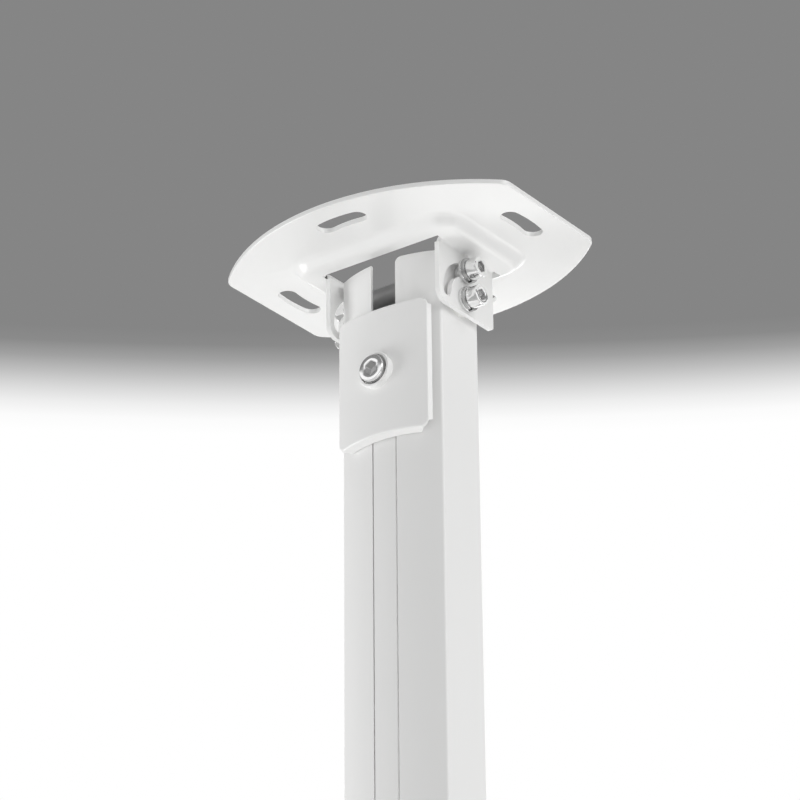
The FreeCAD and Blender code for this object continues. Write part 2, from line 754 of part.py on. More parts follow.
round_edges(cover, "CoverFrontEdge", "cover_bend_radius", on_cover_front)
sheet_x = "(cover_face_half_width - cover_thickness)"
hollow_arc = "(cover_front_radius - cover_thickness)"
hollow_y = "(cover_centre_y - sqrt(%s^2 - %s^2))" % (hollow_arc, sheet_x)
hollow_foot_x = "(%s - cover_side_lean * %s)" % (sheet_x, hollow_y)
hollow = [
    ("-" + sheet_x, hollow_y, "0", "cover_centre_y", 1),
    (sheet_x, hollow_y),
    (hollow_foot_x, "0"),
    ("-" + hollow_foot_x, "0"),
]
hollow_half = "(cover_face_half_height - cover_thickness + cover_end_lean * cover_thickness)"
pocket(cover, draw(cover, "CoverHollow", "XY", [hollow], lift="cover_middle_z + " + hollow_half),
       "2 * " + hollow_half)
flange_y = "(cover_edge_y + cover_side_depth)"
relief_x = "(cover_face_half_width - cover_relief_width)"
sides = [rectangle(relief_x, wide_x, flange_y, "0"),
         rectangle("-" + wide_x, "-" + relief_x, flange_y, "0")]
pocket(cover, draw(cover, "CoverSideFlanges", "XY", sides, lift=above_z))
relief_y = "(cover_edge_y + cover_thickness / 3)"
notch_x = "(%s - cover_relief_slant)" % relief_x
notch_y = "(%s + cover_relief_slant)" % relief_y
for end, lift, depth in (
        ("Upper", above_z, "%s - cover_middle_z - cover_face_half_height" % above_z),
        ("Lower", "cover_middle_z - cover_face_half_height + cover_relief_height", None)):
    notches = []
    for side in ("", "-"):
        notches.append([(side + relief_x, relief_y), (side + wide_x, relief_y),
                        (side + wide_x, "0"), (side + notch_x, "0"),
                        (side + notch_x, notch_y)])
    pocket(cover, draw(cover, "Cover%sReliefs" % end, "XY", notches, lift=lift),
           None if depth is None else depth + " + cover_relief_height")
pocket(cover, draw(cover, "CoverScrewHole", "XZ", circles=[
    ("0", "cover_middle_z", "bore_radius + washer_clearance")]), backwards=True)
keep(cover, "cover_plate")


# Clamp screw through the cover, with a saddle-backed plastic spacer and a nut plate inside

spacer = new_body("cover_spacer")
pad(spacer, draw(spacer, "SpacerDisc", "XZ", lift="-(spacer_face_y)", circles=[
    ("0", "cover_middle_z", "spacer_radius"),
    ("0", "cover_middle_z", "bore_radius + washer_clearance")]),
    "spacer_thickness + cover_thickness", backwards=True)
round_edges(spacer, "SpacerEdge", "spacer_edge_radius",
            lambda edge: within(y=around(value("spacer_face_y")))(edge)
            and edge.BoundBox.ZLength > value("spacer_radius"))
pocket(spacer, draw(spacer, "SpacerRecess", "XZ", lift="-(spacer_face_y)", circles=[
    ("0", "cover_middle_z", "spacer_recess_radius")]), "spacer_recess_depth")
pocket(spacer, draw(spacer, "SpacerSaddle", "XY", lift=above_z, circles=[
    ("0", "cover_centre_y", "cover_front_radius")]))
keep(spacer, "cover_spacer")

recess_floor_y = "(spacer_face_y + spacer_recess_depth)"
spring_washer("cover_spring_washer", "0", recess_floor_y, "cover_middle_z", FRONT)
clamp_back_y = "(clamp_front_y + clamp_thickness)"
cover_head_y = "(%s - spring_washer_thickness)" % recess_floor_y
cover_screw = cap_screw("cover_screw", clamp_back_y + " - " + cover_head_y)
keep(place(cover_screw, "0", cover_head_y, "cover_middle_z", FRONT), "cover_screw")

clamp = new_body("clamp_nut_plate")
clamp_arc = "(column_front_radius - inner_inset - inner_wall)"
clamp_edge_y = "(arc_centre - sqrt(%s^2 - clamp_half_width^2))" % clamp_arc
clamp_section = [
    ("-clamp_half_width", clamp_edge_y, "0", "arc_centre", 1),
    ("clamp_half_width", clamp_edge_y),
    ("clamp_half_width", clamp_back_y),
    ("-clamp_half_width", clamp_back_y),
]
pad(clamp, draw(clamp, "ClampSection", "XY", [clamp_section],
                lift="cover_middle_z + clamp_height / 2"), "clamp_height", backwards=True)
pocket(clamp, draw(clamp, "ClampHole", "XZ", circles=[
    ("0", "cover_middle_z", "bore_radius")]), both_ways=True)
keep(clamp, "clamp_nut_plate")


# Lower end: strap bent up beside the inner column, tilting on a cross bolt

cross_bolt("head_pivot", "head_pivot_z", "head_ear_outer_x")
cross_bolt("head_lock", "head_lock_z", "head_ear_outer_x")
friction_washers("head_friction_washers", "inner_half_width", "head_pivot_z")
spacer_sleeves("head_spacer_sleeves", "inner_half_width - inner_wall",
               ("head_pivot_z", "head_lock_z"))

strap = new_body("head_strap")
outer_bend = "(ear_bend_radius + sheet_thickness)"
strap_section = [
    ("head_ear_inner_x", "head_ear_top_z"),
    ("head_ear_inner_x", "head_bend_z", "head_bend_x", "head_bend_z", -1),
    ("head_bend_x", "head_base_z"),
    ("-head_bend_x", "head_base_z", "-head_bend_x", "head_bend_z", -1),
    ("-head_ear_inner_x", "head_bend_z"),
    ("-head_ear_inner_x", "head_ear_top_z"),
    ("-head_ear_outer_x", "head_ear_top_z"),
    ("-head_ear_outer_x", "head_bend_z", "-head_bend_x", "head_bend_z", 1),
    ("-head_bend_x", "strap_bottom_z"),
    ("head_bend_x", "strap_bottom_z", "head_bend_x", "head_bend_z", 1),
    ("head_ear_outer_x", "head_bend_z"),
    ("head_ear_outer_x", "head_ear_top_z"),
]
pad(strap, draw(strap, "StrapSection", "XZ", [strap_section]), "2 * head_ear_half_width",
    both_ways=True)
head_side = value("head_ear_half_width")
head_top = around(value("head_ear_top_z"))
round_edges(strap, "StrapCorners", "head_ear_corner_radius",
            lambda edge: within(z=head_top)(edge) and edge.BoundBox.YLength < 0.1)
head_slot = kidney("0", "head_pivot_z", "lock_radius", "lock_slot_width",
                   "90 - head_tilt_travel", "90 + head_tilt_travel")
pocket(strap, draw(strap, "StrapHoles", "YZ", [head_slot], [
    ("0", "head_pivot_z", "bore_radius")]), both_ways=True)
pocket(strap, draw(strap, "SwivelHole", "XY", lift="head_pivot_z", circles=[
    ("0", "0", "swivel_bore_radius")]))
keep(strap, "head_strap")


# Swivel: screw up through the head plate and the strap, slipping on a plastic disc

swivel_seat_z = "(hub_bottom_z - swivel_washer_thickness - spring_washer_thickness)"
swivel_length = ("head_base_z + swivel_washer_thickness + swivel_nut_height + thread_past_nut"
                 " - %s" % swivel_seat_z)
swivel_screw = cap_screw("swivel_screw", swivel_length, "swivel_radius",
                         "swivel_head_radius", "swivel_head_height",
                         "swivel_socket_flats", "swivel_socket_depth")
keep(place(swivel_screw, "0", "0", swivel_seat_z, DOWN), "swivel_screw")
spring_washer("swivel_spring_washer", "0", "0", "hub_bottom_z - swivel_washer_thickness", DOWN,
              "swivel_head_radius + washer_clearance", "swivel_bore_radius")
group("swivel_washers", [
    place(ring("SwivelWasher", "swivel_washer_radius", "swivel_bore_radius",
               "swivel_washer_thickness"), "0", "0", z, towards)
    for z, towards in (("head_base_z", UP), ("hub_bottom_z", DOWN))])
keep(place(hex_nut("swivel_nut", "swivel_nut_flats", "swivel_nut_height",
                   "swivel_bore_radius"), "0", "0",
           "head_base_z + swivel_washer_thickness"), "swivel_nut")
keep(place(ring("SwivelDisc", "swivel_disc_radius", "swivel_bore_radius",
                "swivel_disc_thickness"), "0", "0", "hub_top_z"), "swivel_disc")

hub = new_body("head_plate")
hub_holes = [("0", "0", "swivel_bore_radius")]
for x in ("", "-"):
    for y in ("", "-"):
        hub_holes.append((x + "arm_pivot_half_spacing", y + "arm_pivot_half_spacing",
                          "bore_radius"))
pad(hub, draw(hub, "HubOutline", "XY", lift="hub_top_z", circles=hub_holes, outlines=[
    round_rectangle("hub_half_width", "hub_half_width", "hub_corner_radius")]),
    "hub_thickness", backwards=True)
keep(hub, "head_plate")


# Arms: stepped straps that slide and swing on their screws and reach out to the projector

bend_shift = "arm_thickness * tan(atan(arm_step_drop / arm_step_run) / 2)"


def arm(label):
    """Arm along its own X, with its pivot over the origin and its upper face at height 0."""
    body = new_body(label)
    step_end = "(arm_step_start + arm_step_run)"
    tip = "(arm_reach + arm_tip)"
    side_view = [
        ("-arm_inboard", "0"),
        ("-arm_inboard", "-arm_thickness"),
        ("arm_step_start - " + bend_shift, "-arm_thickness"),
        (step_end + " - " + bend_shift, "-(arm_step_drop + arm_thickness)"),
        (tip, "-(arm_step_drop + arm_thickness)"),
        (tip, "-arm_step_drop"),
        (step_end, "-arm_step_drop"),
        ("arm_step_start", "0"),
    ]
    pad(body, draw(body, label + "SideView", "XZ", [side_view]), "arm_width", both_ways=True)
    round_edges(body, label + "Ends", "arm_width / 2 - 0.1",
                lambda edge: edge.BoundBox.ZLength > 1 and edge.BoundBox.XLength < 0.1)
    bend_low = value("arm_step_start - arm_width / 4")
    bend_high = value("arm_step_start + arm_step_run + arm_width / 4")
    round_edges(body, label + "Bends", "arm_bend_radius",
                lambda edge: within(x=(bend_low, bend_high))(edge)
                and edge.BoundBox.YLength > value("arm_width / 2")
                and edge.BoundBox.XLength < 0.1)
    slot_half = "(screw_radius + arm_slot_clearance)"
    slot = [
        ("0", "-" + slot_half, "0", "0", 1),
        ("0", slot_half),
        ("-arm_travel", slot_half, "-arm_travel", "0", 1),
        ("-arm_travel", "-" + slot_half),
    ]
    pocket(body, draw(body, label + "Openings", "XY", [slot], [
        ("arm_reach", "0", "projector_hole_radius")]))
    return body


for corner, (side_x_sign, side_y_sign) in enumerate(((1, 1), (-1, 1), (-1, -1), (1, -1))):
    number = corner + 1
    pivot_x = "%d * arm_pivot_half_spacing" % side_x_sign
    pivot_y = "%d * arm_pivot_half_spacing" % side_y_sign
    arm_body = place(arm("arm_%d" % number), pivot_x, pivot_y, "hub_bottom_z")
    arm_body.Placement = FreeCAD.Placement(
        arm_body.Placement.Base, FreeCAD.Rotation(UP, 45 + 90 * corner))
    keep(arm_body, "arm_%d" % number)
    screw_length = ("washer_thickness + arm_thickness + hub_thickness + nut_height"
                    " + thread_past_nut")
    arm_screw = cap_screw("arm_screw_%d" % number, screw_length)
    keep(place(arm_screw, pivot_x, pivot_y, "arm_bottom_z - washer_thickness", DOWN),
         "arm_screw_%d" % number)
    arm_washer = ring("ArmWasher", "arm_washer_radius", "bore_radius", "washer_thickness")
    keep(place(arm_washer, pivot_x, pivot_y, "arm_bottom_z", DOWN), "arm_washer_%d" % number)
    keep(place(hex_nut("arm_nut_%d" % number), pivot_x, pivot_y, "hub_top_z"),
         "arm_nut_%d" % number)


doc.recompute()
for item in doc.Objects:
    if "Invalid" in item.State or "Error" in item.State:
        raise ValueError("%s is %s" % (item.Name, item.State))
for node in NODES:
    if node.Shape.isNull() or not node.Shape.isValid():
        raise ValueError(node.Label + " has no sound shape")

os.makedirs("parts", exist_ok=True)
for node in NODES:
    node.Shape.exportStep("parts/%s.step" % node.Label)
    print(node.Label, len(node.Shape.Solids), round(node.Shape.Volume, 1))
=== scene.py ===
import math

import bmesh
import bpy
from mathutils import Matrix, Vector
from mathutils.bvhtree import BVHTree
from mathutils.interpolate import poly_3d_calc


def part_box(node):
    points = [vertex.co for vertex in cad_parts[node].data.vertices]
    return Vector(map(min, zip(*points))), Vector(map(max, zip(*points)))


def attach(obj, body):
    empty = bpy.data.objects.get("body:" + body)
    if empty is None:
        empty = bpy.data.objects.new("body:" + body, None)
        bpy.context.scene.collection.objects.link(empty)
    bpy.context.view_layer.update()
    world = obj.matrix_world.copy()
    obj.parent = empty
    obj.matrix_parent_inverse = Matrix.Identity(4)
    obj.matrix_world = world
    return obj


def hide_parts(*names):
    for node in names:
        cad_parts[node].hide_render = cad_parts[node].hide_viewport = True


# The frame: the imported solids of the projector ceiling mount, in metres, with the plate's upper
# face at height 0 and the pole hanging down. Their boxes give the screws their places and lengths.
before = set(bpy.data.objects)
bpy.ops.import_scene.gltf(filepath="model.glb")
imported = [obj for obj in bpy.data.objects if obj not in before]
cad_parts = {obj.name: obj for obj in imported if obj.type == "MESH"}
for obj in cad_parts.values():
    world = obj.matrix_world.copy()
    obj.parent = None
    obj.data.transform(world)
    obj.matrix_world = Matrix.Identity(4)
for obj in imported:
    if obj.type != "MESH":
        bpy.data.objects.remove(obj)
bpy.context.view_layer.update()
scene = bpy.context.scene
scene.view_settings.view_transform = "Standard"


# The camera: it stands below the mount, in front of the slotted face and to the right,
# and looks up at the ceiling plate along a long lens.
camera_azimuth = math.radians(36.247)
camera_rise = math.radians(25.538)
camera_roll = math.radians(-0.545)
camera_place = Vector((0.8382, -1.1508, -0.7525))
focal_pixels = 3460
frame_pixels = 800
sensor_width = 36
nearest_seen = 0.05
furthest_seen = 60

towards = Vector((-math.sin(camera_azimuth) * math.cos(camera_rise),
                  math.cos(camera_azimuth) * math.cos(camera_rise),
                  math.sin(camera_rise)))
level = Vector((math.cos(camera_azimuth), math.sin(camera_azimuth), 0))
above = level.cross(towards)
right = math.cos(camera_roll) * level + math.sin(camera_roll) * above
upward = math.cos(camera_roll) * above - math.sin(camera_roll) * level
camera_data = bpy.data.cameras.new("camera")
camera_data.sensor_width = sensor_width
camera_data.lens = sensor_width * focal_pixels / frame_pixels
camera_data.clip_start = nearest_seen
camera_data.clip_end = furthest_seen
camera = bpy.data.objects.new("camera", camera_data)
camera.matrix_world = (Matrix.Translation(camera_place)
                       @ Matrix((right, upward, -towards)).transposed().to_4x4())
scene.collection.objects.link(camera)
scene.camera = camera


# The studio: a plain pale floor a storey below the mount, six large soft lamps, and a backdrop
# that is pale grey at eye level, white behind the pole and mid grey behind the ceiling plate.
# The bands of the backdrop are (degrees above the horizon, grey).
floor_drop = 2.6
floor_half = 25
floor_colour = (0.86, 0.86, 0.85, 1)
floor_roughness = 0.8
floor_glow = 0.24
white = (1, 1, 1, 1)
backdrop_bands = ((8, 0.62), (18, 1.0), (25.0, 1.0), (26.6, 0.235))
backdrop_strength = 1
world_light = 0.45

bm = bmesh.new()
bmesh.ops.create_grid(bm, x_segments=1, y_segments=1, size=floor_half,
                      matrix=Matrix.Translation((0, 0, -floor_drop)))
floor_mesh = bpy.data.meshes.new("floor")
bm.to_mesh(floor_mesh)
bm.free()
floor = bpy.data.objects.new("floor", floor_mesh)
scene.collection.objects.link(floor)
floor_paint = bpy.data.materials.new("pale_floor")
floor_paint.use_nodes = True
floor_shader = floor_paint.node_tree.nodes["Principled BSDF"]
floor_shader.inputs["Base Color"].default_value = floor_colour
floor_shader.inputs["Roughness"].default_value = floor_roughness
floor_path = floor_paint.node_tree.nodes.new("ShaderNodeLightPath")
floor_seen = floor_paint.node_tree.nodes.new("ShaderNodeMath")
floor_seen.operation = "MULTIPLY"
floor_seen.inputs[1].default_value = floor_glow
floor_shader.inputs["Emission Color"].default_value = white
floor_paint.node_tree.links.new(floor_path.outputs["Is Camera Ray"], floor_seen.inputs[0])
floor_paint.node_tree.links.new(floor_seen.outputs[0],
                                floor_shader.inputs["Emission Strength"])
floor_mesh.materials.append(floor_paint)

world = bpy.data.worlds.new("studio")
world.use_nodes = True
scene.world = world
tree = world.node_tree
tree.nodes.clear()
output = tree.nodes.new("ShaderNodeOutputWorld")
choice = tree.nodes.new("ShaderNodeMixShader")
lit = tree.nodes.new("ShaderNodeBackground")
seen = tree.nodes.new("ShaderNodeBackground")
path = tree.nodes.new("ShaderNodeLightPath")
camera_or_gloss = tree.nodes.new("ShaderNodeMath")
camera_or_gloss.operation = "MAXIMUM"
or_through = tree.nodes.new("ShaderNodeMath")
or_through.operation = "MAXIMUM"
direction = tree.nodes.new("ShaderNodeTexCoord")
parts = tree.nodes.new("ShaderNodeSeparateXYZ")
fade = tree.nodes.new("ShaderNodeValToRGB")
fade.color_ramp.interpolation = "EASE"
stops = fade.color_ramp.elements
while len(stops) < len(backdrop_bands):
    stops.new(1)
for stop, (rise, grey) in zip(stops, backdrop_bands):
    stop.position = math.sin(math.radians(rise))
    stop.color = (grey, grey, grey, 1)
lit.inputs["Color"].default_value = white
lit.inputs["Strength"].default_value = world_light
seen.inputs["Strength"].default_value = backdrop_strength
tree.links.new(path.outputs["Is Camera Ray"], camera_or_gloss.inputs[0])
tree.links.new(path.outputs["Is Glossy Ray"], camera_or_gloss.inputs[1])
tree.links.new(camera_or_gloss.outputs[0], or_through.inputs[0])
tree.links.new(path.outputs["Is Transmission Ray"], or_through.inputs[1])
tree.links.new(direction.outputs["Generated"], parts.inputs[0])
tree.links.new(parts.outputs["Z"], fade.inputs["Fac"])
tree.links.new(fade.outputs["Color"], seen.inputs["Color"])
tree.links.new(or_through.outputs[0], choice.inputs[0])
tree.links.new(lit.outputs[0], choice.inputs[1])
tree.links.new(seen.outputs[0], choice.inputs[2])
tree.links.new(choice.outputs[0], output.inputs["Surface"])

# The lamps are (name, azimuth, rise, watts), each turned to the object's middle.
lamp_reach = 2.4
lamp_size = 1.3
object_middle = Vector((0, 0, -0.12))
lamps = (("lamp_left", -62, -20, 28.5),
         ("lamp_right_back", 122, -40, 8),
         ("lamp_right_high", 88, 25, 15),
         ("lamp_left_back", -150, 0, 11),
         ("lamp_low_back", 180, -55, 11.5),
         ("lamp_low_right", 60, -55, 9))
for lamp_name, azimuth, rise, power in lamps:
    turn, lift = math.radians(azimuth), math.radians(rise)
    lamp_data = bpy.data.lights.new(lamp_name, "AREA")
    lamp_data.shape = "SQUARE"
    lamp_data.size = lamp_size
    lamp_data.energy = power
    lamp = bpy.data.objects.new(lamp_name, lamp_data)
    outward = Vector((math.sin(turn) * math.cos(lift), -math.cos(turn) * math.cos(lift),
                      math.sin(lift)))
    lamp.location = object_middle + lamp_reach * outward
    lamp.rotation_euler = outward.to_track_quat("Z", "Y").to_euler()
    lamp.visible_camera = False
    scene.collection.objects.link(lamp)


# Ceiling plate: one sheet of steel, pressed with a shallow boss and two ears, its sheared edges
# slightly rounded, then powder coated white. The coat is satin with a fine orange peel and a
# little glossier over the rounded edges, which are also painted lighter there as a painted
# highlight.
def effect_group(name, inputs, outputs):
    """An empty shader group with the given sockets, and its two end nodes."""
    group = bpy.data.node_groups.new(name, "ShaderNodeTree")
    kinds = {"value": "NodeSocketFloat", "colour": "NodeSocketColor", "vector": "NodeSocketVector"}
    for socket, kind, default in inputs:
        made = group.interface.new_socket(name=socket, in_out="INPUT", socket_type=kinds[kind])
        made.default_value = default
    for socket, kind in outputs:
        group.interface.new_socket(name=socket, in_out="OUTPUT", socket_type=kinds[kind])
    return group, group.nodes.new("NodeGroupInput"), group.nodes.new("NodeGroupOutput")


peel_height = 0.00004
cloud_matting = 0.12
# The rounded edges are painted lighter, a painted highlight, and are made glossier by edge_shine.
painted_edge_highlight = (0.97, 0.97, 0.965, 1)
painted_highlight_amount = 0.7
edge_shine = 0.1
coat_group, coat_in, coat_out = effect_group(
    "powder_coat",
    [("Colour", "colour", (0.9, 0.9, 0.89, 1)), ("Roughness", "value", 0.4),
     ("Peel Scale", "value", 1100), ("Peel Depth", "value", 0.12),
     ("Cloudiness", "value", 0.012)],
    [("Colour", "colour"), ("Roughness", "value"), ("Normal", "vector")])
nodes, links = coat_group.nodes, coat_group.links
place = nodes.new("ShaderNodeTexCoord")
peel = nodes.new("ShaderNodeTexNoise")
peel.inputs["Detail"].default_value = 2
peel_bump = nodes.new("ShaderNodeBump")
peel_bump.inputs["Distance"].default_value = peel_height
cloud = nodes.new("ShaderNodeTexNoise")
cloud.inputs["Scale"].default_value = 22
cloud.inputs["Detail"].default_value = 3
cloud_level = nodes.new("ShaderNodeMapRange")
cloud_level.inputs["From Min"].default_value = 0.3
cloud_level.inputs["From Max"].default_value = 0.7
cloud_level.inputs["To Max"].default_value = 1
cloud_floor = nodes.new("ShaderNodeMath")
cloud_floor.operation = "SUBTRACT"
cloud_floor.inputs[0].default_value = 1
tinted = nodes.new("ShaderNodeMix")
tinted.data_type = "RGBA"
tinted.blend_type = "MULTIPLY"
tinted.inputs["Factor"].default_value = 1
# Painted highlight: faces marked as rounded edges are mixed towards a lighter white.
edge = nodes.new("ShaderNodeAttribute")
edge.attribute_name = "edge"
painted_highlight_mix = nodes.new("ShaderNodeMix")
painted_highlight_mix.data_type = "RGBA"
painted_highlight_mix.inputs["B"].default_value = painted_edge_highlight
painted_highlight_mask = nodes.new("ShaderNodeMath")
painted_highlight_mask.operation = "MULTIPLY"
painted_highlight_mask.inputs[1].default_value = painted_highlight_amount
gloss = nodes.new("ShaderNodeMath")
gloss.operation = "MULTIPLY_ADD"
gloss.inputs[1].default_value = cloud_matting
gloss_edge = nodes.new("ShaderNodeMath")
gloss_edge.operation = "MULTIPLY_ADD"
gloss_edge.inputs[1].default_value = -edge_shine
links.new(place.outputs["Object"], peel.inputs["Vector"])
links.new(coat_in.outputs["Peel Scale"], peel.inputs["Scale"])
links.new(peel.outputs["Fac"], peel_bump.inputs["Height"])
links.new(coat_in.outputs["Peel Depth"], peel_bump.inputs["Strength"])
links.new(place.outputs["Object"], cloud.inputs["Vector"])
links.new(cloud.outputs["Fac"], cloud_level.inputs["Value"])
links.new(coat_in.outputs["Cloudiness"], cloud_floor.inputs[1])
links.new(cloud_floor.outputs[0], cloud_level.inputs["To Min"])
links.new(coat_in.outputs["Colour"], tinted.inputs["A"])
links.new(cloud_level.outputs["Result"], tinted.inputs["B"])
links.new(edge.outputs["Fac"], painted_highlight_mask.inputs[0])
links.new(painted_highlight_mask.outputs[0], painted_highlight_mix.inputs["Factor"])
links.new(tinted.outputs["Result"], painted_highlight_mix.inputs["A"])
links.new(cloud.outputs["Fac"], gloss.inputs[0])
links.new(coat_in.outputs["Roughness"], gloss.inputs[2])
links.new(edge.outputs["Fac"], gloss_edge.inputs[0])
links.new(gloss.outputs[0], gloss_edge.inputs[2])
links.new(painted_highlight_mix.outputs["Result"], coat_out.inputs["Colour"])
links.new(gloss_edge.outputs[0], coat_out.inputs["Roughness"])
links.new(peel_bump.outputs["Normal"], coat_out.inputs["Normal"])


def finish_from(name, group, metallic=0.0, settings=(), constants=()):
    """A material whose colour, roughness and normal come from one effect group."""
    material = bpy.data.materials.new(name)
    material.use_nodes = True
    material_tree = material.node_tree
    shader = material_tree.nodes["Principled BSDF"]
    shader.inputs["Metallic"].default_value = metallic
    for socket, number in constants:
        shader.inputs[socket].default_value = number
    effect = material_tree.nodes.new("ShaderNodeGroup")
    effect.node_tree = group
    for socket, number in settings:
        effect.inputs[socket].default_value = number
    material_tree.links.new(effect.outputs["Colour"], shader.inputs["Base Color"])
    material_tree.links.new(effect.outputs["Roughness"], shader.inputs["Roughness"])
    material_tree.links.new(effect.outputs["Normal"], shader.inputs["Normal"])
    return material


def piece_from(bm, name, body, material, slot, *nodes_replaced):
    """Makes the finished mesh a piece that rides on a body and stands for its solids."""
    mesh = bpy.data.meshes.new(name)
    bm.to_mesh(mesh)
    bm.free()
    mesh.materials.append(material)
    piece = bpy.data.objects.new(name, mesh)
    scene.collection.objects.link(piece)
    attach(piece, body)
    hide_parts(*nodes_replaced)
    return piece


def true_normals(mesh, model):
    """Shades the mesh by the normals of the model's surface, and its rounded edges between.

    Each corner is looked up a little off itself, towards its face's middle, so that it finds its
    own side of an edge, and a surface that faces another way there isn't its own.
    """
    off_corner = 0.001
    same_side = 0.9
    model.calc_loop_triangles()
    triangles = model.loop_triangles
    spots = [v.co for v in model.vertices]
    surface = BVHTree.FromPolygons(spots, [tuple(t.vertices) for t in triangles])
    rounding = mesh.attributes["rounding"].data
    normals = [None] * len(mesh.loops)
    beside = {}
    for face in mesh.polygons:
        if rounding[face.index].value:
            continue
        for corner in face.loop_indices:
            vertex = mesh.loops[corner].vertex_index
            point = mesh.vertices[vertex].co.lerp(face.center, off_corner)
            spot, facing, index, _ = surface.find_nearest(point)
            normal = face.normal.copy()
            if facing.dot(normal) > same_side:
                triangle = triangles[index]
                shares = poly_3d_calc([spots[v] for v in triangle.vertices], spot)
                normal = sum((share * model.corner_normals[loop].vector
                              for share, loop in zip(shares, triangle.loops)), Vector())
            normals[corner] = normal.normalized()
            beside.setdefault(vertex, []).append(normals[corner])
    for face in mesh.polygons:
        if not rounding[face.index].value:
            continue
        for corner in face.loop_indices:
            vertex = mesh.loops[corner].vertex_index
            if vertex in beside:
                normals[corner] = max(beside[vertex], key=face.normal.dot)
            else:
                normals[corner] = mesh.vertex_normals[vertex].vector
    mesh.normals_split_custom_set(normals)


def round_sheet(node, body, material, slot, radius):
    """The solid again with its sharp edges rounded, marked there for a painted highlight and a
    glossier coat.
    """
    merged_within = 0.000002
    flat_within = math.radians(0.3)
    sharp = math.radians(28)
    sliver = 0.000001
    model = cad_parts[node].data
    mesh = model.copy()
    if "custom_normal" in mesh.attributes:
        mesh.attributes.remove(mesh.attributes["custom_normal"])
    bm = bmesh.new()
    bm.from_mesh(mesh)
    bpy.data.meshes.remove(mesh)
    painted_highlight_and_gloss_edge = bm.loops.layers.float.new("edge")
    rounding = bm.faces.layers.int.new("rounding")
    bmesh.ops.remove_doubles(bm, verts=bm.verts, dist=merged_within)
    bmesh.ops.dissolve_limit(bm, angle_limit=flat_within, verts=bm.verts, edges=bm.edges)
    corner = [e for e in bm.edges
              if len(e.link_faces) == 2 and e.calc_face_angle(0) > sharp]
    rounded = bmesh.ops.bevel(bm, geom=corner, offset=radius, offset_type="OFFSET",
                              segments=2, profile=0.5, affect="EDGES", clamp_overlap=True,
                              material=-1)
    # The rounded faces are marked for the painted edge highlight and the glossier coat.
    for face in rounded["faces"]:
        face[rounding] = 1
        for loop in face.loops:
            loop[painted_highlight_and_gloss_edge] = 1
    bmesh.ops.dissolve_degenerate(bm, edges=bm.edges, dist=sliver)
    for face in bm.faces:
        face.smooth = True
    for e in bm.edges:
        e.smooth = True
    piece = piece_from(bm, node + "_coated", body, material, slot, node)
    true_normals(piece.data, model)


plate_coat = finish_from("plate_powder_coat", coat_group,
                         settings=[("Colour", (0.945, 0.945, 0.94, 1)), ("Roughness", 0.26)],
                         constants=[("Coat Weight", 0.28), ("Coat Roughness", 0.14)])
round_sheet("ceiling_plate", "ceiling_bracket", plate_coat, "plate_paint", 0.0003)


# Outer column: rolled steel tube open along its front, coated like the plate. The rolled faces
# are smoother than the pressing, so the peel is finer.
column_coat = finish_from("column_powder_coat", coat_group,
                          settings=[("Colour", (0.945, 0.945, 0.94, 1)), ("Roughness", 0.26),
                                    ("Peel Scale", 1300), ("Peel Depth", 0.1)],
                          constants=[("Coat Weight", 0.12), ("Coat Roughness", 0.25)])
round_sheet("outer_column", "pole", column_coat, "column_paint", 0.0003)


# Inner column: closed tube that slides in the outer one, coated the same. A raised rib along
# its front fills the outer tube's slot, a hair below the lips on either side.
inner_coat = finish_from("inner_powder_coat", coat_group,
                         settings=[("Colour", (0.943, 0.943, 0.938, 1)), ("Roughness", 0.28),
                                   ("Peel Scale", 1300), ("Peel Depth", 0.1)],
                         constants=[("Coat Weight", 0.1), ("Coat Roughness", 0.3)])
round_sheet("inner_column", "extension", inner_coat, "inner_paint", 0.0002)


# Cover plate: bowed pan of thin sheet steel with turned edges, notched at its corners so that the
# edges fold, and powder coated. One screw through its middle clamps it over the front slot.
# The cover's coat is set lighter than the plate's, though the paint is the same: painted light on
# its face.
cover_coat = finish_from("cover_powder_coat", coat_group,
                         settings=[("Colour", (0.967, 0.967, 0.962, 1)), ("Roughness", 0.28)],
                         constants=[("Coat Weight", 0.12), ("Coat Roughness", 0.25)])
round_sheet("cover_plate", "extension", cover_coat, "cover_paint", 0.00015)


# Cover spacer: white moulded cup washer with a saddle back that fits the bow of the cover, its
# low rim standing round the screw. It is whiter and smoother than the coated steel.
grain_height = 0.00003
flow_scale = 90
flow_darkest, flow_lightest = 0.97, 1.02
flow_matting = 0.1
moulded_group, moulded_in, moulded_out = effect_group(
    "moulded_plastic",
    [("Colour", "colour", (0.93, 0.93, 0.92, 1)), ("Roughness", "value", 0.4),
     ("Grain Scale", "value", 2500), ("Grain Depth", "value", 0.08)],
    [("Colour", "colour"), ("Roughness", "value"), ("Normal", "vector")])
nodes, links = moulded_group.nodes, moulded_group.links
place = nodes.new("ShaderNodeTexCoord")
grain = nodes.new("ShaderNodeTexNoise")
grain_bump = nodes.new("ShaderNodeBump")
grain_bump.inputs["Distance"].default_value = grain_height
flow = nodes.new("ShaderNodeTexNoise")
flow.inputs["Scale"].default_value = flow_scale
flow_level = nodes.new("ShaderNodeMapRange")
flow_level.inputs["To Min"].default_value = flow_darkest
flow_level.inputs["To Max"].default_value = flow_lightest
flowed = nodes.new("ShaderNodeMix")
flowed.data_type = "RGBA"
flowed.blend_type = "MULTIPLY"
flowed.inputs["Factor"].default_value = 1
matt = nodes.new("ShaderNodeMath")
matt.operation = "MULTIPLY_ADD"
matt.inputs[1].default_value = flow_matting
links.new(place.outputs["Object"], grain.inputs["Vector"])
links.new(moulded_in.outputs["Grain Scale"], grain.inputs["Scale"])
links.new(grain.outputs["Fac"], grain_bump.inputs["Height"])
links.new(moulded_in.outputs["Grain Depth"], grain_bump.inputs["Strength"])
